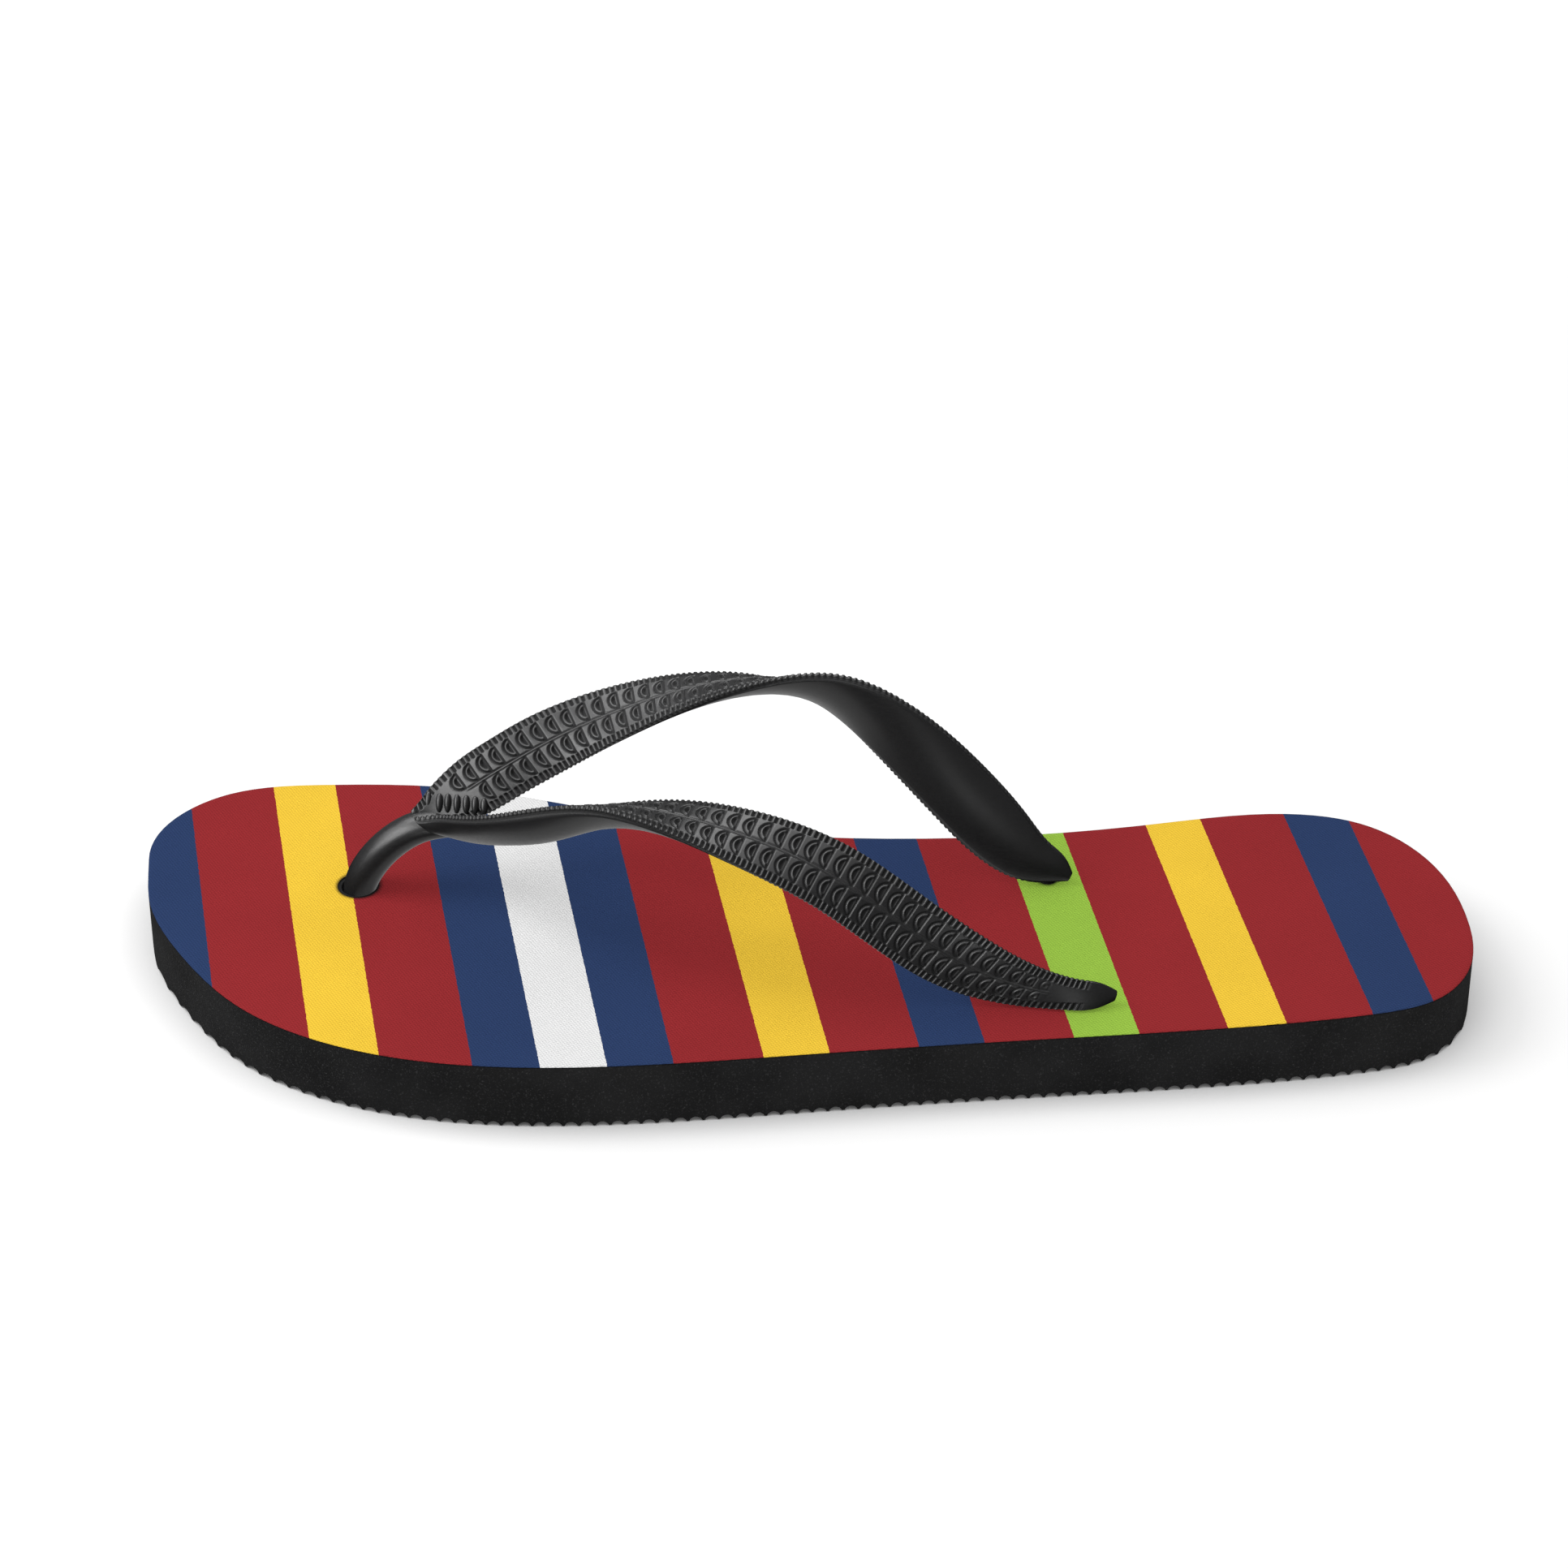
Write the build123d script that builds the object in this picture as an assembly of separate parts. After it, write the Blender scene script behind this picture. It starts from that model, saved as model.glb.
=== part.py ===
"""Left flip flop: foam sole, printed textile footbed and one moulded Y-shaped strap.

Millimetres. The toe points to -X, the heel to +X, the inner (big toe) side to +Y, up is +Z.
The origin is on the ground, in the middle of the sole's outline box.
"""
from build123d import *
import os

# Sole
TOTAL_HEIGHT = 14.8          # ground to the footbed's walking surface
FABRIC_THICKNESS = 0.5
SOLE_HEIGHT = TOTAL_HEIGHT - FABRIC_THICKNESS
TREAD_PITCH = 3.05           # scalloped grooves that run across the sole
TREAD_DEPTH = 0.95
TREAD_LAND = 0.5             # flat foot of each ridge

# Strap anchors: a neck through the sole with a disc-shaped plug in a pocket underneath
TOE_ANCHOR = (-91.0, 12.0)
MEDIAL_ANCHOR = (50.0, 12.5)
LATERAL_ANCHOR = (54.5, -28.0)
NECK_RADIUS = 3.2
PLUG_RADIUS = 7.5
PLUG_THICKNESS = 2.6
POCKET_FLOOR_GAP = 1.2       # the plugs sit this far above the ground
CLEARANCE = 0.3

# Strap
ARM_THICKNESS = 4.2
BAND_EDGE = 1.2              # height of the band's thin edges
ARM_SECTIONS = 22            # sections along each arm
POST_TOP = (-78.0, 13.5, 15.5)     # where the toe post meets the yoke, above the footbed
YOKE_RADIUS = 3.9
TIP_RADIUS = 2.4

# The outline's points in order, from the toe tip round the inner side to the heel and back
OUTLINE = [
    (-135, 21), (-131.5, 35), (-121, 44.2), (-100, 47.8), (-76, 47), (-46, 39.5), (-18, 31.6),
    (12, 28.4), (44, 29.3), (74, 33.6), (99, 37.2), (117, 33.4), (129.5, 20), (134.8, 0),
    (133.6, -15), (126.5, -25.5), (111, -31.3), (80, -35.8), (40, -39.6), (0, -43.8),
    (-44, -47.8), (-68, -46.9), (-92, -40.8), (-111, -29.2), (-125, -11.5), (-133, 5.5),
]

# Each arm's stations: x, y, height above the footbed, roll in degrees, width.
# The roll turns the band about its own run: 0 lies flat, positive lifts the outer edge,
# -90 stands it on edge with the patterned face outwards.
MEDIAL_ARM = [
    (-78, 14, 14.5, 75, 8.0), (-70, 17.5, 17.5, 68, 12.5), (-53, 21, 28, 45, 13.0),
    (-33, 24.5, 36.5, 9, 13.5), (-14, 25.5, 41, -18, 13.5), (4, 25, 40.5, -57, 13.5),
    (20, 22, 32, -92, 13.5), (36, 17.5, 16.5, -100, 12.5), (50, 12.8, 4.6, -85, 7.0),
]
LATERAL_ARM = [
    (-78, 13, 14.5, 55, 8.0), (-70, 8, 18, 50, 12.5), (-53.5, -1, 26.5, 34, 13.0),
    (-35.5, -9, 35, 22, 13.5), (-16, -16.5, 34.5, -5, 13.5), (3, -21.5, 28.5, -34, 13.5),
    (20.5, -25.5, 17.5, -57, 13.0), (38, -27.5, 8, -82, 11.0), (54.5, -28, 3.4, -85, 5.6),
]


def outline_face():
    """The sole's outline as a face, centred on its own box."""
    face = make_face(Spline(*OUTLINE, periodic=True))
    middle = face.bounding_box().center()
    return Pos(-middle.X, -middle.Y) * face


def outline_slab(low, high):
    """The outline extruded from one height to another."""
    return extrude(Pos(0, 0, low) * outline_face(), amount=high - low)


def tread_block():
    """A block whose underside has the scalloped grooves, from end to end."""
    length = 290.0
    count = int(length / TREAD_PITCH)
    start = -count * TREAD_PITCH / 2
    edges = []
    for step in range(count):
        x = start + step * TREAD_PITCH
        land_end = x + TREAD_LAND
        groove_end = x + TREAD_PITCH
        middle = (land_end + groove_end) / 2
        edges.append(Line((x, 0), (land_end, 0)))
        edges.append(ThreePointArc((land_end, 0), (middle, TREAD_DEPTH), (groove_end, 0)))
    finish = start + count * TREAD_PITCH
    edges.append(Polyline((finish, 0), (finish, SOLE_HEIGHT), (start, SOLE_HEIGHT), (start, 0)))
    return extrude(Plane.XZ * make_face(edges), amount=60, both=True)


def anchor_cylinder(anchor, radius, low, high):
    """An upright cylinder at an anchor, from one height to another."""
    centre = Pos(anchor[0], anchor[1], low)
    return centre * Cylinder(radius, high - low, align=(Align.CENTER, Align.CENTER, Align.MIN))


def anchors():
    return (TOE_ANCHOR, MEDIAL_ANCHOR, LATERAL_ANCHOR)


def sole():
    """Foam sole with its tread and the three stepped holes for the strap's plugs."""
    body = outline_slab(0, SOLE_HEIGHT) & tread_block()
    pocket_top = POCKET_FLOOR_GAP + PLUG_THICKNESS + CLEARANCE
    for anchor in anchors():
        body -= anchor_cylinder(anchor, NECK_RADIUS + CLEARANCE, -1, SOLE_HEIGHT + 1)
        body -= anchor_cylinder(anchor, PLUG_RADIUS + CLEARANCE, -1, pocket_top)
    return body


def footbed_fabric():
    """Printed textile bonded to the top of the sole, with the three holes."""
    sheet = outline_slab(SOLE_HEIGHT, TOTAL_HEIGHT)
    for anchor in anchors():
        sheet -= anchor_cylinder(anchor, NECK_RADIUS + CLEARANCE, SOLE_HEIGHT - 1, TOTAL_HEIGHT + 1)
    return sheet


def between(value, knots, values):
    """The straight-line value at a place between knots."""
    for low, high, first, last in zip(knots, knots[1:], values, values[1:]):
        if value <= high:
            return first + (last - first) * (value - low) / (high - low)
    return values[-1]


def band_section(width, plane):
    """The band's section: flat patterned face, thin edges and a rounded belly."""
    half = width / 2
    depth = min(ARM_THICKNESS, 0.75 * width)
    top = Line((half, 0), (-half, 0))
    near_edge = Line((-half, 0), (-half, -BAND_EDGE))
    belly = ThreePointArc((-half, -BAND_EDGE), (0, -depth), (half, -BAND_EDGE))
    far_edge = Line((half, -BAND_EDGE), (half, 0))
    return plane * make_face([top, near_edge, belly, far_edge])


def arm(stations, side):
    """One arm, lofted along its run; side is +1 inner, or -1 outer, which is built mirrored."""
    points = [Vector(x, y * side, TOTAL_HEIGHT + height) for x, y, height, _, _ in stations]
    rolls = [station[3] for station in stations]
    widths = [station[4] for station in stations]
    run = Spline(*points)
    knots = [run.param_at_point(point) for point in points]
    sections = []
    for step in range(ARM_SECTIONS + 1):
        place = step / ARM_SECTIONS
        tangent = run.tangent_at(place)
        across = Vector(0, 0, 1).cross(tangent).normalized()
        outer = across.rotate(Axis((0, 0, 0), tangent), between(place, knots, rolls))
        plane = Plane(origin=run.position_at(place), x_dir=outer, z_dir=tangent)
        sections.append(band_section(between(place, knots, widths), plane))
    band = loft(sections)
    return band if side > 0 else mirror(band, about=Plane.XZ)


def toe_post():
    """Round post that rises through the sole between the toes and bends back to the yoke."""
    foot = (*TOE_ANCHOR, POCKET_FLOOR_GAP + 1)
    bend = (*TOE_ANCHOR, TOTAL_HEIGHT + 1.5)
    top = (POST_TOP[0], POST_TOP[1], TOTAL_HEIGHT + POST_TOP[2])
    rise = Line(foot, bend)
    curve = TangentArc(bend, top, tangent=(0, 0, 1))
    return sweep(Plane(origin=foot) * Circle(NECK_RADIUS), path=rise + curve)


def strap():
    """The whole moulding: toe post, yoke, both arms, necks and plugs."""
    body = toe_post()
    body += Pos(POST_TOP[0], POST_TOP[1], TOTAL_HEIGHT + POST_TOP[2]) * Sphere(YOKE_RADIUS)
    body += arm(MEDIAL_ARM, 1)
    body += arm(LATERAL_ARM, -1)
    for anchor, stations in ((MEDIAL_ANCHOR, MEDIAL_ARM), (LATERAL_ANCHOR, LATERAL_ARM)):
        x, y, height, _, _ = stations[-1]
        body += Pos(x, y, TOTAL_HEIGHT + height) * Sphere(TIP_RADIUS + 0.2)
        body += anchor_cylinder(anchor, NECK_RADIUS, POCKET_FLOOR_GAP + 1, TOTAL_HEIGHT + height)
    plug_top = POCKET_FLOOR_GAP + PLUG_THICKNESS
    for anchor in anchors():
        body += anchor_cylinder(anchor, PLUG_RADIUS, POCKET_FLOOR_GAP, plug_top)
    return body


os.makedirs("parts", exist_ok=True)
export_step(sole(), "parts/sole.step")
export_step(footbed_fabric(), "parts/footbed_fabric.step")
export_step(strap(), "parts/strap.step")
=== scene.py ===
"""Left flip flop: foam sole, printed textile footbed and moulded thong strap, in a plain studio."""
import math

import bmesh
import bpy
import numpy as np
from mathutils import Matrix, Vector
from mathutils.geometry import delaunay_2d_cdt


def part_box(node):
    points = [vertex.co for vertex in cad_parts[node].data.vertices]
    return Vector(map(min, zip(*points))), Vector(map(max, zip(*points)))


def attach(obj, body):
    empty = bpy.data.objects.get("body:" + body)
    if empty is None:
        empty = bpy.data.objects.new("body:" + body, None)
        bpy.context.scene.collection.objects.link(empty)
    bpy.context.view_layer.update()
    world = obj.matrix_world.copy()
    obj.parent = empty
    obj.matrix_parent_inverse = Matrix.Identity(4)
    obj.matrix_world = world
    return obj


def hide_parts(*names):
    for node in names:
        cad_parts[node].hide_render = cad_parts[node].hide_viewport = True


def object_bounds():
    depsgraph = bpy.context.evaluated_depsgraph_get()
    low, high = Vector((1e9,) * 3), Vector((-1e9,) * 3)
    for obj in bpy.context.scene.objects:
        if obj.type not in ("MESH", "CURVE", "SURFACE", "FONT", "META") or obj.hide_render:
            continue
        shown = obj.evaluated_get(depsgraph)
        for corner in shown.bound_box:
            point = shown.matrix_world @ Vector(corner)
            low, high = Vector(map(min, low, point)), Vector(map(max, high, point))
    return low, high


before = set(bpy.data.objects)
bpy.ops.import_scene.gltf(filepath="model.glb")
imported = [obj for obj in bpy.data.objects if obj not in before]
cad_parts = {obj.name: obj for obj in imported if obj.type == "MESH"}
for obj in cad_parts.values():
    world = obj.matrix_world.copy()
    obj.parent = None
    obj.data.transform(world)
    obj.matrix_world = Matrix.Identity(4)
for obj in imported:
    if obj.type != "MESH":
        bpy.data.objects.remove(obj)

MM = 0.001
cad_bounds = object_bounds()
sole_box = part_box("sole")
fabric_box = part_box("footbed_fabric")
SOLE_TOP = sole_box[1][2] / MM           # millimetres, as every size below
FOOTBED = fabric_box[1][2] / MM

# ---------------------------------------------------------------- sizes, in millimetres
TOE_ANCHOR = (-91.0, 12.0)
MEDIAL_ANCHOR = (50.0, 12.5)
LATERAL_ANCHOR = (54.5, -28.0)
MEDIAL_NECK = (50.4, 14.3)               # the necks stand off centre in the sole's holes
LATERAL_NECK = (55.4, -27.2)
PLUG_RADIUS = 7.5
PLUG_LOW = 1.2                           # the plugs sit this far above the ground
PLUG_THICKNESS = 2.6
PLUG_TOP = PLUG_LOW + PLUG_THICKNESS
PLUG_RIM = 0.5

# The textile's holes: centre and radius
HOLES = (((-91.2, 12.0), 3.95), (MEDIAL_NECK, 1.65), (LATERAL_NECK, 1.65))
HOLE_POINTS = 40
SHEET_GRID = 1.5                         # spacing of the textile's mesh
YARN = 0.65

# Print: cross stripes, skewed towards the toe on the inner side
STRIPE_SKEW = math.radians(9.8)
STRIPE_SHRINK = 0.00016                  # the print narrows a little from toe to heel
FIRST_EDGE = -120.7                      # end of the toe's blue field, square to the stripes
PRINT_REACH = 150.0                      # the print runs this far each way from the origin
NARROW = 12.57
WIDE = 17.84
RED = (0.3050, 0.0242, 0.0284)
YELLOW = (0.888, 0.578, 0.0482)
NAVY = (0.0252, 0.0497, 0.1356)
WHITE = (0.83, 0.83, 0.83)
GREEN = (0.3140, 0.5333, 0.0630)
STRIPES = [
    (RED, WIDE), (YELLOW, 12.1), (RED, 18.3), (NAVY, NARROW), (WHITE, NARROW), (NAVY, NARROW),
    (RED, WIDE), (YELLOW, NARROW), (RED, WIDE), (NAVY, NARROW), (RED, WIDE), (GREEN, NARROW),
    (RED, WIDE), (YELLOW, NARROW), (RED, WIDE), (NAVY, NARROW), (RED, 40.0),
]

# Strap arms: the band's outer edge, inner edge and belly depth, heights above the footbed
MEDIAL_ARM = [
    ((-79.6, 14.4, 16.6), (-79.0, 13.8, 15.2), 1.4),
    ((-77.9, 15.6, 18.3), (-76.1, 13.2, 15.0), 2.2),
    ((-76.5, 17.7, 19.4), (-70.3, 12.1, 15.9), 2.8),
    ((-71.9, 20.7, 23.2), (-64.4, 12.5, 17.4), 3.2),
    ((-64.5, 22.6, 28.2), (-56.8, 14.6, 21.1), 3.6),
    ((-55.9, 25.6, 32.2), (-48.5, 16.4, 25.5), 4.0),
    ((-41.4, 29.6, 36.3), (-38.1, 17.3, 32.0), 4.0),
    ((-25.1, 31.8, 38.8), (-24.3, 18.3, 39.5), 3.6),
    ((-8.8, 31.6, 38.5), (-9.1, 19.7, 44.9), 3.4),
    ((4.4, 28.2, 34.1), (7.3, 21.4, 45.5), 3.2),
    ((14.4, 22.8, 26.4), (23.1, 21.3, 37.2), 3.0),
    ((26.9, 16.7, 14.2), (37.6, 19.4, 23.6), 2.9),
    ((38.4, 13.6, 3.9), (46.3, 16.2, 13.8), 2.6),
    ((45.4, 12.6, 0.9), (50.7, 14.4, 8.6), 1.9),
    ((50.6, 12.4, 0.6), (53.9, 13.4, 5.4), 1.3),
    ((54.4, 12.3, 0.9), (55.2, 12.6, 2.5), 0.8),
]
LATERAL_ARM = [
    ((-79.6, 13.4, 16.2), (-79.0, 13.8, 15.2), 1.4),
    ((-78.2, 12.4, 16.8), (-77.0, 13.6, 14.6), 2.2),
    ((-75.6, 11.2, 18.0), (-74.5, 13.4, 14.3), 2.9),
    ((-70.6, 6.6, 21.3), (-67.0, 11.8, 13.4), 3.4),
    ((-64.4, -0.4, 26.2), (-60.0, 8.0, 16.0), 4.2),
    ((-52.9, -7.6, 33.1), (-48.6, 2.7, 23.7), 6.0),
    ((-40.6, -13.7, 37.6), (-38.0, -1.8, 29.9), 4.7),
    ((-29.1, -18.9, 37.1), (-26.5, -5.5, 33.7), 4.0),
    ((-12.6, -24.4, 31.5), (-8.1, -11.6, 34.9), 3.7),
    ((2.1, -27.0, 23.5), (8.7, -17.1, 30.9), 3.4),
    ((16.1, -28.5, 12.4), (24.0, -22.0, 21.7), 3.2),
    ((29.4, -28.6, 3.6), (37.7, -26.2, 13.1), 3.0),
    ((41.5, -29.4, 0.7), (46.6, -28.0, 8.6), 2.8),
    ((51.6, -30.6, 0.5), (54.4, -28.2, 6.0), 2.5),
    ((57.8, -30.2, 0.6), (59.4, -27.9, 4.6), 2.0),
    ((61.5, -28.5, 1.2), (62.0, -27.7, 2.9), 1.0),
]
# Rear necks: x, y, height above the footbed, half width across and along the arm
MEDIAL_STEM = [
    (*MEDIAL_NECK, -0.6, 1.6, 1.6), (50.45, 14.25, 0.3, 1.75, 1.9), (50.3, 14.0, 1.3, 1.9, 3.0),
    (49.9, 13.6, 3.0, 1.6, 3.6), (49.5, 13.3, 5.0, 1.1, 2.8), (49.2, 13.2, 6.6, 0.3, 1.2),
]
LATERAL_STEM = [
    (*LATERAL_NECK, -0.6, 1.6, 1.6), (55.35, -27.25, 0.3, 1.75, 2.0), (55.2, -27.5, 1.3, 1.9, 3.2),
    (55.2, -28.1, 2.6, 1.7, 3.8), (55.4, -28.8, 3.8, 0.5, 1.8),
]
ARM_STEP = 0.18                          # mesh spacing along an arm
TOP_COLUMNS = 88                         # points across the patterned face
BELLY_COLUMNS = 12
BAND_EDGE = 1.3                          # height of the band's thin edges
CROWN = 0.25
RIB_PITCH = 1.15
RIB_DEPTH = 0.62
LINE_OFFSET = 0.26                       # each centre line from the middle
LINE_DEPTH = 0.30
CRESCENT_PITCH = 3.2
CRESCENT_CHORD = 2.35                    # where a crescent's straight side lies in its cell
CRESCENT_BOW = 1.8
CRESCENT_START = 12.0                    # middle of the two rows' starts, along the arm
CRESCENT_STAGGER = 2.0                   # each row starts this far from it
ROW_MARGIN = 2.0                         # from the band's edge to a row of crescents
ROW_GAP = 0.5                            # from the middle to a row of crescents

# Toe post: x, y, height above the footbed, half width across and along the sole
TOE_POST = [
    (*TOE_ANCHOR, -3, 3.1, 3.1), (-90.4, 11.9, 0.5, 3.35, 3.35), (-87.6, 12.1, 6.0, 3.5, 3.45),
    (-83.2, 12.7, 10.6, 3.6, 3.4), (-77.0, 13.5, 13.7, 3.8, 3.0), (-72.0, 13.8, 14.0, 3.4, 2.4),
]

# Yoke studs: top and bottom of the first and last, over the footbed
STUD_COUNT = 7
STUD_RADII = (0.76, 0.95)                # across the row, and out of the face
FIRST_STUD = ((-75.5, 17.6, 18.4), (-75.5, 15.0, 15.5))
LAST_STUD = ((-64.7, 14.7, 19.8), (-64.6, 12.4, 17.2))


# ---------------------------------------------------------------- small helpers
def smooth(low, high, value):
    """0 below low, 1 above high, eased between."""
    share = np.clip((value - low) / (high - low), 0.0, 1.0)
    return share * share * (3 - 2 * share)


def groove(distance, width):
    """1 on a line, fading to 0 at its width."""
    return np.exp(-(distance / width) ** 2)


def natural_spline(knots, values, places):
    """A natural cubic spline through values at knots, read at places."""
    knots = np.asarray(knots, float)
    values = np.asarray(values, float)
    steps = np.diff(knots)
    count = len(knots)
    matrix = np.eye(count)
    right = np.zeros_like(values)
    for i in range(1, count - 1):
        matrix[i, i - 1:i + 2] = steps[i - 1], 2 * (steps[i - 1] + steps[i]), steps[i]
        rise_after = (values[i + 1] - values[i]) / steps[i]
        rise_before = (values[i] - values[i - 1]) / steps[i - 1]
        right[i] = 6 * (rise_after - rise_before)
    bends = np.linalg.solve(matrix, right)
    index = np.clip(np.searchsorted(knots, places) - 1, 0, count - 2)
    step = steps[index][:, None]
    before = (np.asarray(places) - knots[index])[:, None]
    after = step - before
    first, last = bends[index], bends[index + 1]
    return ((first * after ** 3 + last * before ** 3) / (6 * step)
            + (values[index] / step - first * step / 6) * after
            + (values[index + 1] / step - last * step / 6) * before)


def unit(rows):
    """Each row scaled to length 1."""
    return rows / np.linalg.norm(rows, axis=-1, keepdims=True)


def distances(points):
    """How far along a line each of its points lies."""
    return np.concatenate([[0], np.cumsum(np.linalg.norm(np.diff(points, axis=0), axis=1))])


def circle(count):
    """The angles of evenly spaced points round a circle."""
    return np.linspace(0, 2 * math.pi, count, endpoint=False)


def new_object(name, vertices, faces, material):
    """A smooth-shaded mesh object from points in millimetres."""
    mesh = bpy.data.meshes.new(name)
    mesh.from_pydata([tuple(v) for v in np.asarray(vertices) * MM], [], faces)
    mesh.polygons.foreach_set("use_smooth", [True] * len(mesh.polygons))
    mesh.materials.append(material)
    mesh.validate()
    mesh.update()
    made = bpy.data.objects.new(name, mesh)
    bpy.context.scene.collection.objects.link(made)
    return made


def ring_faces(rings, around, start=0):
    """Quads between rings of points, each closed on itself, and a cap at both ends."""
    faces = []
    for row in range(rings - 1):
        low = start + row * around
        for column in range(around):
            after = (column + 1) % around
            faces.append((low + column, low + after, low + around + after, low + around + column))
    last = start + (rings - 1) * around
    faces.append(tuple(range(start + around - 1, start - 1, -1)))
    faces.append(tuple(range(last, last + around)))
    return faces


# ---------------------------------------------------------------- materials
class Nodes:
    """A new material's node tree, with short calls for the nodes used here."""

    def __init__(self, name):
        self.material = bpy.data.materials.new(name)
        self.material.use_nodes = True
        self.tree = self.material.node_tree
        self.shader = self.tree.nodes["Principled BSDF"]
        self.place = self.tree.nodes.new("ShaderNodeTexCoord").outputs["Object"]

    def link(self, source, target):
        self.tree.links.new(source, target)

    def new(self, kind, **settings):
        node = self.tree.nodes.new(kind)
        for name, value in settings.items():
            setattr(node, name, value)
        return node

    def math(self, operation, first, second=0.0):
        node = self.new("ShaderNodeMath", operation=operation)
        for socket, value in zip(node.inputs, (first, second)):
            if isinstance(value, (int, float)):
                socket.default_value = value
            else:
                self.link(value, socket)
        return node.outputs[0]

    def noise(self, size_mm, detail=2.0, roughness=0.5, stretch=(1, 1, 1)):
        mapping = self.new("ShaderNodeMapping")
        mapping.inputs["Scale"].default_value = stretch
        self.link(self.place, mapping.inputs["Vector"])
        node = self.new("ShaderNodeTexNoise")
        node.inputs["Scale"].default_value = 1 / (size_mm * MM)
        node.inputs["Detail"].default_value = detail
        node.inputs["Roughness"].default_value = roughness
        self.link(mapping.outputs[0], node.inputs["Vector"])
        return node.outputs["Fac"]

    def spread(self, value, low, high, out_low=0.0, out_high=1.0):
        node = self.new("ShaderNodeMapRange")
        limits = {"From Min": low, "From Max": high, "To Min": out_low, "To Max": out_high}
        for name, number in limits.items():
            node.inputs[name].default_value = number
        self.link(value, node.inputs["Value"])
        return node.outputs[0]

    def mix(self, share, first, second):
        node = self.new("ShaderNodeMix", data_type="RGBA")
        for socket, value in ((node.inputs[0], share), (node.inputs[6], first), (node.inputs[7], second)):
            if isinstance(value, (int, float)):
                socket.default_value = value
            elif isinstance(value, tuple):
                socket.default_value = (*value, 1)
            else:
                self.link(value, socket)
        return node.outputs[2]

    def bump(self, height, depth_mm, strength=1.0):
        node = self.new("ShaderNodeBump")
        node.inputs["Strength"].default_value = strength
        node.inputs["Distance"].default_value = depth_mm * MM
        self.link(height, node.inputs["Height"])
        self.link(node.outputs[0], self.shader.inputs["Normal"])

    def dot(self, direction):
        node = self.new("ShaderNodeVectorMath", operation="DOT_PRODUCT")
        node.inputs[1].default_value = direction
        self.link(self.place, node.inputs[0])
        return node.outputs["Value"]


def foam_material():
    """Black closed-cell foam rubber: matte, with fine pale specks and a sandy grain."""
    nodes = Nodes("foam_rubber")
    grain = nodes.noise(0.35, 3, 0.6)
    patches = nodes.noise(14.0, 2)
    base = nodes.mix(nodes.spread(patches, 0.35, 0.65), (0.0085, 0.0085, 0.0089), (0.0135, 0.0135, 0.014))
    specks = nodes.spread(grain, 0.56, 0.74)
    nodes.link(nodes.mix(specks, base, (0.048, 0.048, 0.049)), nodes.shader.inputs["Base Color"])
    nodes.link(nodes.spread(grain, 0.3, 0.7, 0.72, 0.92), nodes.shader.inputs["Roughness"])
    nodes.shader.inputs["Specular IOR Level"].default_value = 0.3
    nodes.bump(grain, 0.12, 0.7)
    return nodes.material


def textile_material():
    """Woven polyester with the printed cross stripes: twill rows, yarn grain and a soft sheen."""
    nodes = Nodes("printed_textile")
    across = nodes.dot((math.cos(STRIPE_SKEW), math.sin(STRIPE_SKEW), 0))
    bleed = nodes.spread(nodes.noise(0.6, 2), 0.3, 0.7, -0.06 * MM, 0.06 * MM)
    edge = nodes.math("ADD", across, bleed)
    ramp = nodes.new("ShaderNodeValToRGB")
    ramp.color_ramp.interpolation = "CONSTANT"
    reach = PRINT_REACH * MM
    nodes.link(nodes.spread(edge, -reach, reach), ramp.inputs["Fac"])
    stops = ramp.color_ramp.elements
    stops[0].position = 0.0
    stops[0].color = (*NAVY, 1)
    place = FIRST_EDGE
    for index, (colour, width) in enumerate(STRIPES):
        position = (place + PRINT_REACH) / (2 * PRINT_REACH)
        stop = stops[1] if index == 0 else stops.new(position)
        stop.position = position
        stop.color = (*colour, 1)
        place += width * (1 - STRIPE_SHRINK * place)
    low_part = nodes.spread(nodes.dot((0, 0, 1)), (FOOTBED - 0.28) * MM, (FOOTBED - 0.20) * MM)
    colour = nodes.mix(low_part, (0.009, 0.009, 0.0094), ramp.outputs[0])
    turns = 2 * math.pi / (YARN * MM)
    warp = nodes.math("SINE", nodes.math("MULTIPLY", nodes.dot((1, 0.6, 0)), turns))
    weft = nodes.math("SINE", nodes.math("MULTIPLY", nodes.dot((-0.45, 1, 0)), turns))
    weave = nodes.math("MULTIPLY", nodes.math("ADD", warp, weft), 0.4)
    fuzz = nodes.noise(0.25, 3, 0.6)
    relief = nodes.math("ADD", weave, nodes.math("MULTIPLY", fuzz, 0.6))
    shade = nodes.spread(relief, -0.5, 1.1, 0.82, 1.10)
    tone = nodes.math("MULTIPLY", shade, nodes.spread(nodes.noise(22.0, 2), 0.3, 0.7, 0.97, 1.03))
    scaled = nodes.new("ShaderNodeVectorMath", operation="SCALE")
    nodes.link(colour, scaled.inputs[0])
    nodes.link(tone, scaled.inputs["Scale"])
    nodes.link(scaled.outputs[0], nodes.shader.inputs["Base Color"])
    nodes.link(nodes.spread(fuzz, 0.3, 0.7, 0.78, 0.92), nodes.shader.inputs["Roughness"])
    nodes.shader.inputs["Specular IOR Level"].default_value = 0.06
    nodes.bump(relief, 0.12, 0.7)
    return nodes.material


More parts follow.
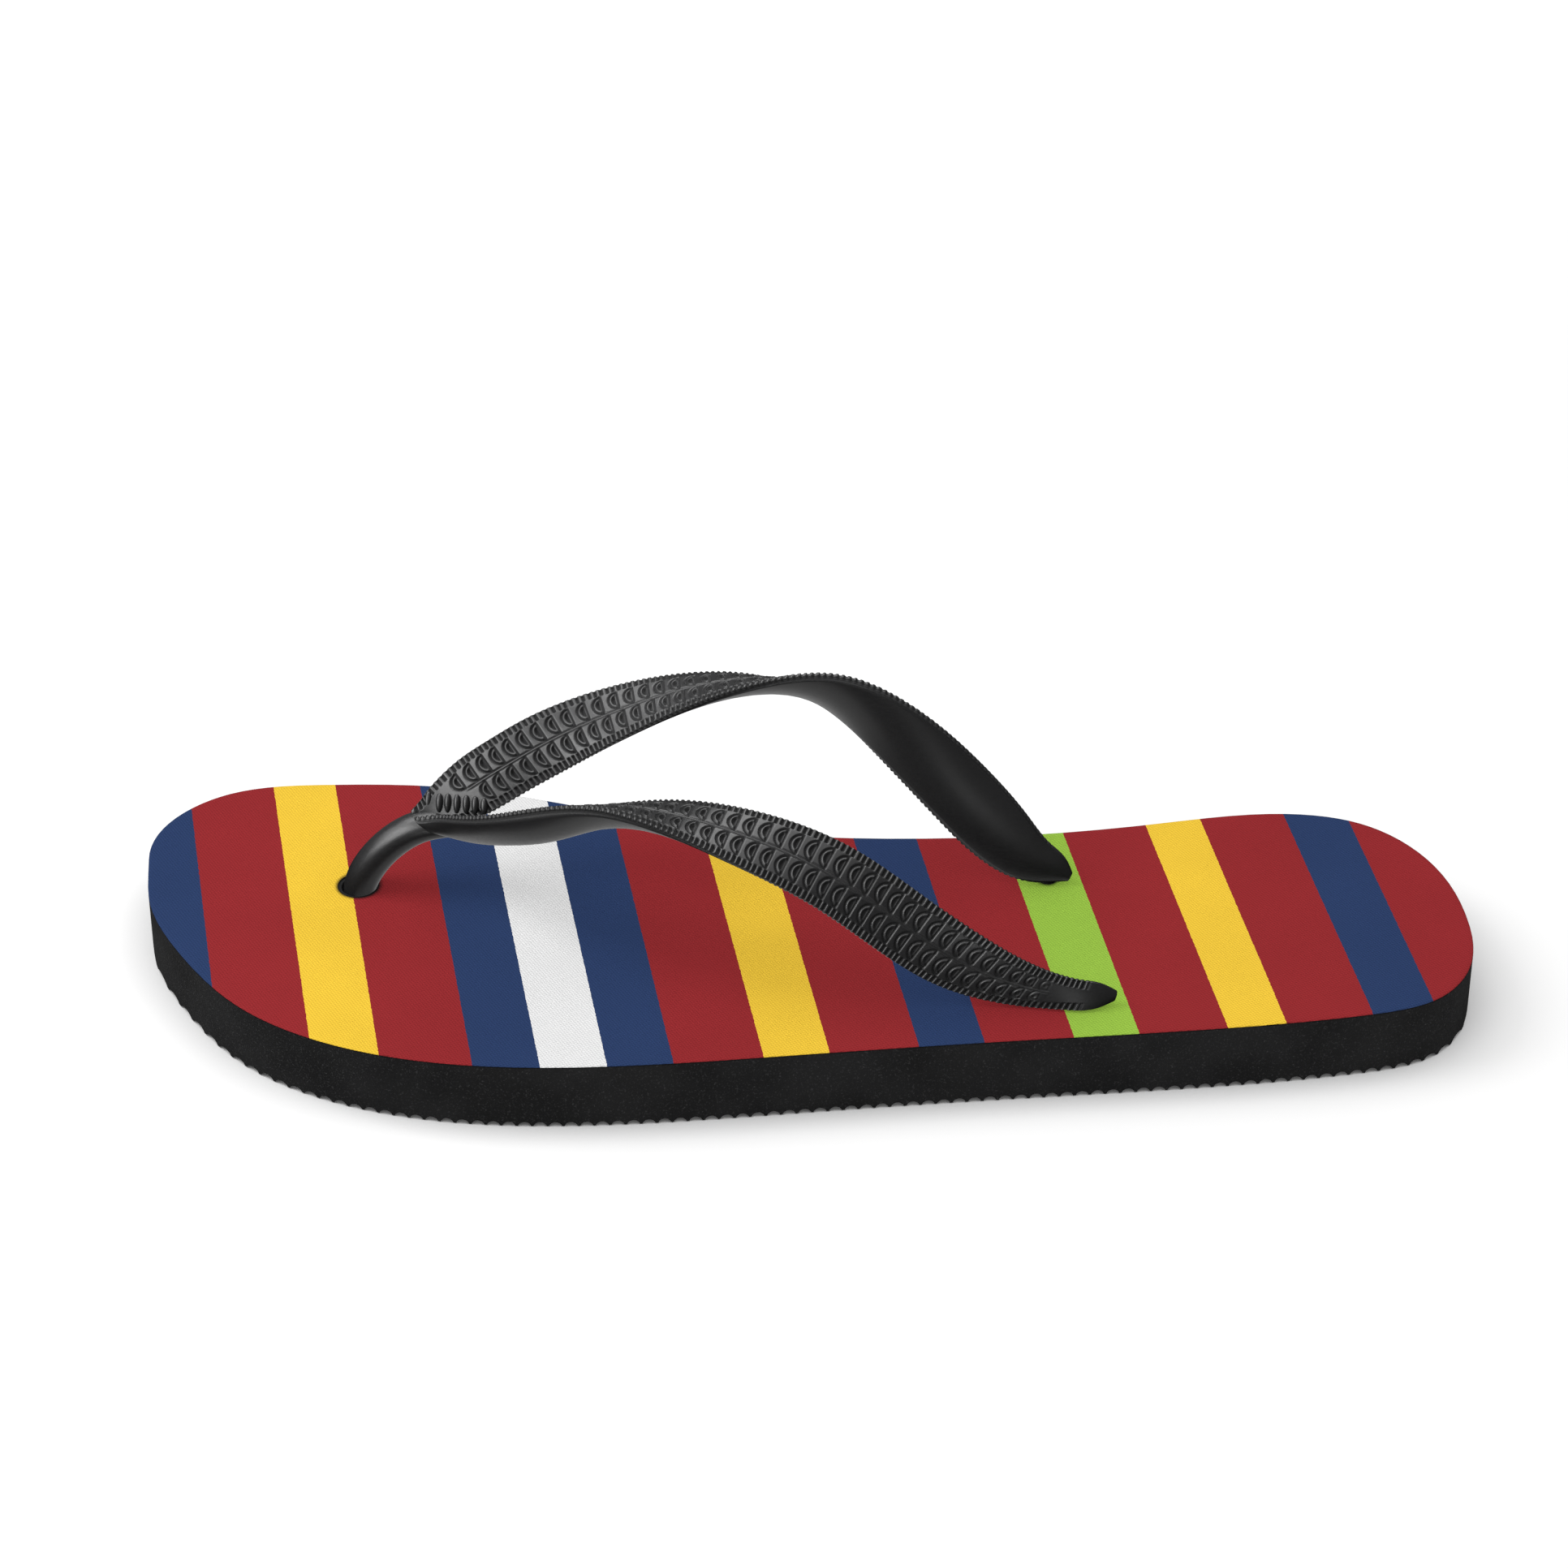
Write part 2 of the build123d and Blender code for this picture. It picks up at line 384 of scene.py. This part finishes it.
def strap_material():
    """Soft black PVC: satin, with faint brushed streaks and mould grain."""
    nodes = Nodes("moulded_pvc")
    grain = nodes.noise(0.3, 2)
    streaks = nodes.noise(2.2, 3, 0.6, (1, 9, 9))
    black = nodes.mix(grain, (0.0050, 0.0050, 0.0054), (0.0080, 0.0080, 0.0084))
    nodes.link(black, nodes.shader.inputs["Base Color"])
    worn = nodes.math("ADD", nodes.math("MULTIPLY", streaks, 0.7), nodes.math("MULTIPLY", grain, 0.3))
    hollow = nodes.new("ShaderNodeAttribute", attribute_name="hollow").outputs["Fac"]
    satin = nodes.spread(worn, 0.3, 0.7, 0.28, 0.44)
    matte = nodes.math("MULTIPLY", hollow, nodes.math("SUBTRACT", 0.97, satin))
    nodes.link(nodes.math("ADD", satin, matte), nodes.shader.inputs["Roughness"])
    nodes.shader.inputs["Specular IOR Level"].default_value = 0.5
    nodes.bump(worn, 0.03, 0.35)
    return nodes.material


def floor_material():
    """Plain pale floor that brightens evenly away from the sandal."""
    nodes = Nodes("studio_floor")
    nodes.shader.inputs["Base Color"].default_value = (0.97, 0.97, 0.97, 1)
    nodes.shader.inputs["Emission Color"].default_value = (1, 1, 1, 1)
    length = nodes.new("ShaderNodeVectorMath", operation="LENGTH")
    nodes.link(nodes.place, length.inputs[0])
    glow = nodes.spread(length.outputs["Value"], 0.30, 1.40, 0.03, 0.60)
    nodes.link(glow, nodes.shader.inputs["Emission Strength"])
    nodes.shader.inputs["Roughness"].default_value = 0.9
    nodes.shader.inputs["Specular IOR Level"].default_value = 0.1
    return nodes.material


# ---------------------------------------------------------------- footbed textile
def outline_loop():
    """The footbed's own outer edge, read from the CAD sheet as ordered points in millimetres."""
    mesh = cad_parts["footbed_fabric"].data
    form = bmesh.new()
    form.from_mesh(mesh)
    bmesh.ops.remove_doubles(form, verts=form.verts, dist=1e-5)
    form.normal_update()
    top = fabric_box[1][2] - 1e-5
    level = [edge for edge in form.edges if all(v.co.z > top for v in edge.verts)]
    rim = [edge for edge in level if sum(face.normal.z > 0.9 for face in edge.link_faces) == 1]
    links = {}
    for edge in rim:
        first, last = edge.verts
        links.setdefault(first.index, []).append(last.index)
        links.setdefault(last.index, []).append(first.index)
    form.verts.ensure_lookup_table()
    start = min(links, key=lambda i: form.verts[i].co.x)
    order = [start]
    previous = None
    here = start
    while True:
        after = [i for i in links[here] if i != previous]
        previous, here = here, after[0]
        if here == start:
            break
        order.append(here)
    points = np.array([form.verts[i].co[:2] for i in order]) / MM
    form.free()
    return points


def even_loop(points, spacing):
    """The same closed line with evenly spaced points."""
    closed = np.vstack([points, points[:1]])
    lengths = distances(closed)
    count = int(lengths[-1] / spacing)
    places = np.linspace(0, lengths[-1], count, endpoint=False)
    return np.column_stack([np.interp(places, lengths, closed[:, axis]) for axis in (0, 1)])


def inset(points, distance):
    """A closed line moved inwards, whichever way round it runs."""
    along = unit(np.roll(points, -1, axis=0) - np.roll(points, 1, axis=0))
    area = np.sum(points[:, 0] * np.roll(points[:, 1], -1) - np.roll(points[:, 0], -1) * points[:, 1])
    inward = np.column_stack([-along[:, 1], along[:, 0]]) * np.sign(area)
    return points + inward * distance


def inside(points, loop):
    """Which points lie inside a closed line."""
    x, y = points[:, :1], points[:, 1:]
    first, last = loop, np.roll(loop, -1, axis=0)
    crosses = (first[:, 1] > y) != (last[:, 1] > y)
    rise = last[:, 1] - first[:, 1]
    rise = np.where(rise == 0, 1e-12, rise)
    at = first[:, 0] + (y - first[:, 1]) * (last[:, 0] - first[:, 0]) / rise
    return np.count_nonzero(crosses & (x < at), axis=1) % 2 == 1


def footbed_height(points, loop):
    """Height of the textile's face: rounded at its cut edge, drawn down a little round the strap."""
    gaps = np.full(len(points), 1e9)
    for chunk in np.array_split(np.arange(len(points)), 40):
        gaps[chunk] = np.min(np.linalg.norm(points[chunk][:, None] - loop[None], axis=2), axis=1)
    height = np.full(len(points), FOOTBED)
    height -= 0.16 * (1 - smooth(0.0, 0.9, gaps)) ** 2
    for centre, radius in HOLES:
        away = np.linalg.norm(points - centre, axis=1) - radius
        height -= 0.3 * np.exp(-np.clip(away, 0, None) / 2.6)
    ripple = np.sin(points[:, 0] * 0.11 + 0.7) * np.sin(points[:, 1] * 0.13 + 0.4)
    return height + 0.05 * ripple * smooth(1, 8, gaps)


def grid_points(rim):
    """Staggered points inside the textile's edge, clear of its holes."""
    columns = np.arange(rim[:, 0].min(), rim[:, 0].max(), SHEET_GRID)
    rows = np.arange(rim[:, 1].min(), rim[:, 1].max(), SHEET_GRID * 0.866)
    shifts = [(index % 2) * SHEET_GRID / 2 for index in range(len(rows))]
    grid = np.array([(x + shift, y) for shift, y in zip(shifts, rows) for x in columns])
    keep = inside(grid, inset(rim, 1.6))
    for centre, radius in HOLES:
        keep &= np.linalg.norm(grid - centre, axis=1) > radius + 0.9
    return [tuple(p) for p in grid[keep]]


def add_thickness(sheet):
    """The textile's cut edges, drawn down from its face to the sole, at the rim and in the holes."""
    form = bmesh.new()
    form.from_mesh(sheet.data)
    cut_edges = [edge for edge in form.edges if edge.is_boundary]
    made = bmesh.ops.extrude_edge_only(form, edges=cut_edges)
    for item in made["geom"]:
        if isinstance(item, bmesh.types.BMVert):
            item.co.z = (SOLE_TOP + 0.02) * MM
    bmesh.ops.recalc_face_normals(form, faces=form.faces)
    form.to_mesh(sheet.data)
    form.free()
    sheet.data.polygons.foreach_set("use_smooth", [True] * len(sheet.data.polygons))


def make_footbed():
    """The textile as a fine triangulated sheet with its thickness, edge and three holes."""
    rim = even_loop(outline_loop(), 0.8)
    points = grid_points(rim)
    edges = []
    for loop in [rim] + [inset(rim, distance) for distance in (0.25, 0.55, 0.95)]:
        start = len(points)
        points += [tuple(p) for p in loop]
        edges += [(start + i, start + (i + 1) % len(loop)) for i in range(len(loop))]
    turns = circle(HOLE_POINTS)
    ring = np.column_stack([np.cos(turns), np.sin(turns)])
    for centre, radius in HOLES:
        start = len(points)
        points += [tuple(p) for p in ring * radius + centre]
        edges += [(start + i, start + (i + 1) % HOLE_POINTS) for i in range(HOLE_POINTS)]
        for gap in (0.1, 0.25, 0.6):
            points += [tuple(p) for p in ring * (radius + gap) + centre]
    result = delaunay_2d_cdt([Vector(p) for p in points], edges, [], 0, 1e-5)
    flat = np.array([tuple(v) for v in result[0]])
    faces = [tuple(face) for face in result[2]]
    middles = np.array([flat[list(face)].mean(axis=0) for face in faces])
    good = inside(middles, rim)
    for centre, radius in HOLES:
        good &= np.linalg.norm(middles - centre, axis=1) > radius * 0.999
    kept = []
    for face, fine in zip(faces, good):
        if not fine:
            continue
        (ax, ay), (bx, by), (cx, cy) = flat[face[0]], flat[face[1]], flat[face[2]]
        turn = (bx - ax) * (cy - ay) - (by - ay) * (cx - ax)
        kept.append(face if turn > 0 else face[::-1])
    height = footbed_height(flat, rim)
    sheet = new_object("printed_footbed", np.column_stack([flat, height]), kept, textile_material())
    add_thickness(sheet)
    return sheet


# ---------------------------------------------------------------- strap
def pattern(along, across, width, arm_length):
    """Relief over the smooth face, in millimetres: crescents, centre line and edge ribs.

    along runs from the yoke's tip; across runs from the inner edge, 0, to the outer, width.
    """
    centre = across - width / 2
    from_edge = np.minimum(across, width - across)
    full = smooth(7.5, 10.5, width)
    # ribs along both edges
    rib = np.abs(((along / RIB_PITCH) % 1.0) - 0.5) * 2
    slot = smooth(0.44, 0.66, rib) * (1 - smooth(1.45, 1.75, from_edge))
    slot = slot * (0.45 + 0.55 * smooth(0.0, 0.4, from_edge))
    ends = smooth(0.5, 1.5, along) * (1 - smooth(arm_length - 8, arm_length - 6, along))
    relief = -RIB_DEPTH * slot * ends
    # two fine lines down the middle
    lines = smooth(12.0, 13.5, along) * full
    lines = lines * (1 - smooth(arm_length - 14, arm_length - 11, along))
    relief -= LINE_DEPTH * groove(np.abs(centre) - LINE_OFFSET, 0.12) * lines
    # crescents, one row each side of the middle, bulging towards the toe
    half_row = (width / 2 - ROW_MARGIN - ROW_GAP) / 2
    finish = 1 - smooth(arm_length - 12, arm_length - 10, along)
    radius = (half_row ** 2 + CRESCENT_BOW ** 2) / (2 * CRESCENT_BOW)
    bulge = CRESCENT_CHORD - CRESCENT_BOW + radius
    for side in (-1, 1):
        start = CRESCENT_START - CRESCENT_STAGGER * side
        rows = smooth(start, start + 0.3, along) * full * finish
        cell = ((along - start) / CRESCENT_PITCH) % 1.0 * CRESCENT_PITCH
        lift = centre - side * (ROW_GAP + half_row)
        arc = np.sqrt((cell - bulge) ** 2 + lift ** 2) - radius
        outside = np.maximum(arc, cell - CRESCENT_CHORD)
        relief -= 0.55 * groove(outside, 0.17) * rows
        relief += 0.10 * groove(outside + 0.40, 0.18) * rows
        lens = smooth(0.66, 0.86, -arc) * smooth(0.22, 0.42, CRESCENT_CHORD - cell)
        relief -= 0.65 * lens * rows
    return relief


def band_rings(stations, side):
    """Closed rings of points down one arm, patterned on the outer face, and where they are hollow."""
    outer = np.array([station[0] for station in stations])
    inner = np.array([station[1] for station in stations])
    middle = (outer + inner) / 2
    knots = distances(middle)
    places = np.linspace(0, knots[-1], int(knots[-1] / ARM_STEP))
    outer = natural_spline(knots, outer, places)
    inner = natural_spline(knots, inner, places)
    middle = (outer + inner) / 2
    run = distances(middle)
    tangent = unit(np.gradient(middle, axis=0))
    wide = outer - inner
    width = np.linalg.norm(wide, axis=1)
    wide = unit(wide)
    normal = unit(np.cross(tangent, wide) * side)
    depths = np.array([[station[2]] for station in stations])
    depth = natural_spline(knots, depths, places)[:, 0]
    edge = np.minimum(BAND_EDGE, 0.55 * depth)
    even = np.linspace(0, 1, TOP_COLUMNS)
    crowded = (1 - np.cos(np.linspace(0, math.pi, TOP_COLUMNS))) / 2
    share = crowded * 0.25 + even * 0.75
    relief = pattern(run[:, None], share[None] * width[:, None], width[:, None], run[-1])
    crown = CROWN * (1 - (2 * share - 1) ** 2)
    top = (inner[:, None] + (wide * width[:, None])[:, None] * share[None, :, None]
           + normal[:, None] * (relief + crown)[:, :, None])
    angles = np.linspace(0, math.pi, BELLY_COLUMNS + 2)[1:-1]
    reach = np.cos(angles)
    drop = edge[:, None] + (depth - edge)[:, None] * np.sin(angles)[None] ** 1.8
    belly = (middle[:, None] + (wide * (width / 2)[:, None])[:, None] * reach[None, :, None] * 0.985
             - normal[:, None] * drop[:, :, None])
    sides = []
    for rim, column, outward in ((outer, -1, 1), (inner, 0, -1)):
        notch = 0.12 + 0.7 * np.minimum(relief[:, column:column + 1 or None], 0)[:, :1]
        bead = rim - normal * (edge * 0.70)[:, None] + wide * notch * outward
        under = rim - normal * (edge * 0.90)[:, None] - wide * 0.55 * outward
        sides.append((bead[:, None], under[:, None]))
    (bead_out, under_out), (bead_in, under_in) = sides
    rings = np.concatenate([top, bead_out, under_out, belly, under_in, bead_in], axis=1)
    hollow = np.zeros(rings.shape[:2])
    hollow[:, :TOP_COLUMNS] = smooth(0.06, 0.32, -relief)
    hollow[:, [TOP_COLUMNS + 1, -2]] = 1.0
    if side < 0:
        rings = rings[:, ::-1]
        hollow = hollow[:, ::-1]
    rings[..., 2] += FOOTBED
    rings[..., 2] = np.maximum(rings[..., 2], FOOTBED + 0.05)
    return rings, hollow


def stud_rings(face_points):
    """The row of oval studs across the yoke, each set on the nearest place of the arm's face."""
    first, last = np.array(FIRST_STUD), np.array(LAST_STUD)
    studs = []
    for share in np.linspace(0, 1, STUD_COUNT):
        top, bottom = first + (last - first) * share
        top = top + (0, 0, 0.5 * math.sin(math.pi * share))
        axis = top - bottom
        middle = (top + bottom) / 2 + (0, 0, FOOTBED)
        middle = face_points[np.argmin(np.linalg.norm(face_points - middle, axis=1))]
        across = unit(np.cross(axis, (-0.28, -0.71, 0.65)))
        out = unit(np.cross(across, axis))
        turns = circle(24)[:, None]
        ring = np.cos(turns) * across * STUD_RADII[0] + np.sin(turns) * out * STUD_RADII[1]
        lengths = -np.cos(np.linspace(0.12, math.pi - 0.12, 22))
        studs.append(np.array([middle + axis * 0.5 * t + ring * (1 - t * t) ** 0.42 for t in lengths]))
    return studs


def tube_rings(centres, radii, around=40):
    """Rings round a smooth line of points."""
    centres = np.asarray(centres, float)
    knots = distances(centres)
    places = np.linspace(0, knots[-1], int(knots[-1] / 0.5))
    line = natural_spline(knots, centres, places)
    sizes = natural_spline(knots, np.asarray(radii, float), places)
    tangent = unit(np.gradient(line, axis=0))
    sideways = np.broadcast_to(np.array([0.0, 1.0, 0.0]), tangent.shape)
    first = unit(sideways - tangent * np.sum(sideways * tangent, axis=1, keepdims=True))
    second = np.cross(tangent, first)
    turns = circle(around)
    ring = (first[:, None] * np.cos(turns)[None, :, None] * sizes[:, None, :1]
            + second[:, None] * np.sin(turns)[None, :, None] * sizes[:, None, 1:])
    return line[:, None] + ring


def turned_rings(centre, profile, around=48):
    """Rings of a turned shape: profile is (radius, height) pairs from the bottom."""
    turns = circle(around)
    ring = np.column_stack([np.cos(turns), np.sin(turns), np.zeros(around)])
    return np.array([ring * radius + (centre[0], centre[1], height) for radius, height in profile])


def plug_profile(neck_radius, top):
    """A disc with rounded rims, and its neck up to a height."""
    flat = PLUG_RADIUS - PLUG_RIM
    return [
        (PLUG_RADIUS - 2.2, PLUG_LOW + 0.25), (PLUG_RADIUS - 2.0, PLUG_LOW), (flat, PLUG_LOW),
        (PLUG_RADIUS, PLUG_LOW + PLUG_RIM), (PLUG_RADIUS, PLUG_TOP - PLUG_RIM), (flat, PLUG_TOP),
        (neck_radius + 0.8, PLUG_TOP), (neck_radius, PLUG_TOP + 0.8), (neck_radius, top),
    ]


def stem_rings(stem, foot_radius):
    """A post or neck: straight up from its plug through the sole, then leaning into the strap."""
    foot = (stem[0][0], stem[0][1], PLUG_TOP)
    centres = [foot] + [(x, y, FOOTBED + height) for x, y, height, _, _ in stem]
    radii = [(foot_radius, foot_radius)] + [station[3:] for station in stem]
    return tube_rings(centres, radii)


def make_strap():
    """The whole moulding as one mesh: both arms, the toe post, necks and plugs."""
    arms = [band_rings(MEDIAL_ARM, 1), band_rings(LATERAL_ARM, -1)]
    parts = [rings for rings, _ in arms]
    near_tip = int(25 / ARM_STEP)
    parts += stud_rings(parts[0][:near_tip, :TOP_COLUMNS].reshape(-1, 3))
    parts.append(stem_rings(TOE_POST, 3.0))
    parts.append(turned_rings(TOE_ANCHOR, plug_profile(3.0, FOOTBED - 2)))
    for anchor, stem in ((MEDIAL_ANCHOR, MEDIAL_STEM), (LATERAL_ANCHOR, LATERAL_STEM)):
        parts.append(turned_rings(anchor, plug_profile(1.8, PLUG_TOP + 1.5)))
        parts.append(stem_rings(stem, 1.5))
    vertices = []
    faces = []
    for rings in parts:
        faces += ring_faces(rings.shape[0], rings.shape[1], len(vertices))
        vertices += rings.reshape(-1, 3).tolist()
    made = new_object("moulded_strap", vertices, faces, strap_material())
    hollow = np.zeros(len(vertices))
    hollows = np.concatenate([values.reshape(-1) for _, values in arms])
    hollow[:len(hollows)] = hollows
    layer = made.data.attributes.new("hollow", "FLOAT", "POINT")
    layer.data.foreach_set("value", hollow)
    return made


# ---------------------------------------------------------------- studio
AMBIENT = 0.45


def make_floor():
    """A flat square just under the sole."""
    half = 4.0
    corners = [(-half, -half, 0), (half, -half, 0), (half, half, 0), (-half, half, 0)]
    mesh = bpy.data.meshes.new("studio_floor")
    mesh.from_pydata(corners, [], [(0, 1, 2, 3)])
    mesh.materials.append(floor_material())
    floor = bpy.data.objects.new("studio_floor", mesh)
    bpy.context.scene.collection.objects.link(floor)
    floor.location.z = cad_bounds[0][2] - 0.0002
    floor.visible_glossy = False


def add_area(name, place, target, size, power, lit, shading):
    """A rectangular soft light; lit and shading are the collections it lights and is shaded by."""
    lamp = bpy.data.lights.new(name, "AREA")
    lamp.shape = "RECTANGLE"
    lamp.size, lamp.size_y = size
    lamp.energy = power
    made = bpy.data.objects.new(name, lamp)
    made.location = place
    made.rotation_euler = (Vector(target) - Vector(place)).to_track_quat("-Z", "Y").to_euler()
    made.visible_camera = False
    made.light_linking.receiver_collection = lit
    made.light_linking.blocker_collection = shading
    bpy.context.scene.collection.objects.link(made)


def make_lights():
    """Soft boxes over and beside the sandal, and four more that reach only the glossy strap."""
    strap_only = bpy.data.collections.new("strap_only")
    strap_only.objects.link(strap)
    body_only = bpy.data.collections.new("body_only")
    body_only.objects.link(sole)
    body_only.objects.link(footbed)
    middle = (-0.04, 0, 0.04)
    add_area("top_softbox", (0.0, -0.10, 1.25), (0, 0, 0), (1.6, 1.2), 9.8, None, body_only)
    add_area("left_softbox", (-0.90, 0.15, 0.85), (0, 0, 0), (0.7, 0.7), 5.6, None, None)
    for name, place, target, size, power in (
        ("strap_left", (-0.85, -0.50, 0.78), middle, (0.8, 0.9), 17),
        ("strap_top", (-0.12, 0.62, 1.00), middle, (1.3, 0.7), 15),
        ("strap_front", (0.02, -1.10, 0.24), middle, (0.25, 0.18), 0.75),
        ("strap_bounce", (-0.06, 0.0, -0.35), (-0.05, 0, 0), (0.8, 0.5), 0.9),
    ):
        add_area(name, place, target, size, power, strap_only, strap_only)


def make_world():
    """Pale surroundings: white to the camera, dim in reflections, middling as light."""
    world = bpy.data.worlds.new("studio")
    world.use_nodes = True
    nodes = world.node_tree.nodes
    background = nodes["Background"]
    path = nodes.new("ShaderNodeLightPath")
    previous = None
    for ray, strength in (("Is Glossy Ray", 0.13), ("Is Camera Ray", 1.0)):
        mix = nodes.new("ShaderNodeMix")
        mix.inputs[2].default_value = AMBIENT
        mix.inputs[3].default_value = strength
        if previous is not None:
            world.node_tree.links.new(previous, mix.inputs[2])
        world.node_tree.links.new(path.outputs[ray], mix.inputs[0])
        previous = mix.outputs[0]
    world.node_tree.links.new(previous, background.inputs["Strength"])
    background.inputs["Color"].default_value = (1, 1, 1, 1)
    bpy.context.scene.world = world


def make_camera():
    """A long lens looking along +Y and 35 degrees down."""
    camera_data = bpy.data.cameras.new("camera")
    camera_data.sensor_width = 36.0
    camera_data.lens = 105.3
    camera_data.clip_end = 50
    camera = bpy.data.objects.new("camera", camera_data)
    camera.location = (-0.0038, -0.7459, 0.5558 + FOOTBED * MM)
    camera.rotation_euler = (math.radians(55), 0, 0)
    bpy.context.scene.collection.objects.link(camera)
    bpy.context.scene.camera = camera


# ---------------------------------------------------------------- putting it together
make_camera()
make_floor()

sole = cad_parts["sole"]
sole.data.materials.clear()
sole.data.materials.append(foam_material())

footbed = make_footbed()
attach(footbed, "root")
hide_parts("footbed_fabric")
footbed.visible_glossy = False

strap = make_strap()
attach(strap, "root")
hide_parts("strap")

make_lights()
make_world()
view = bpy.context.scene.view_settings
view.view_transform = "Standard"
view.look = "None"
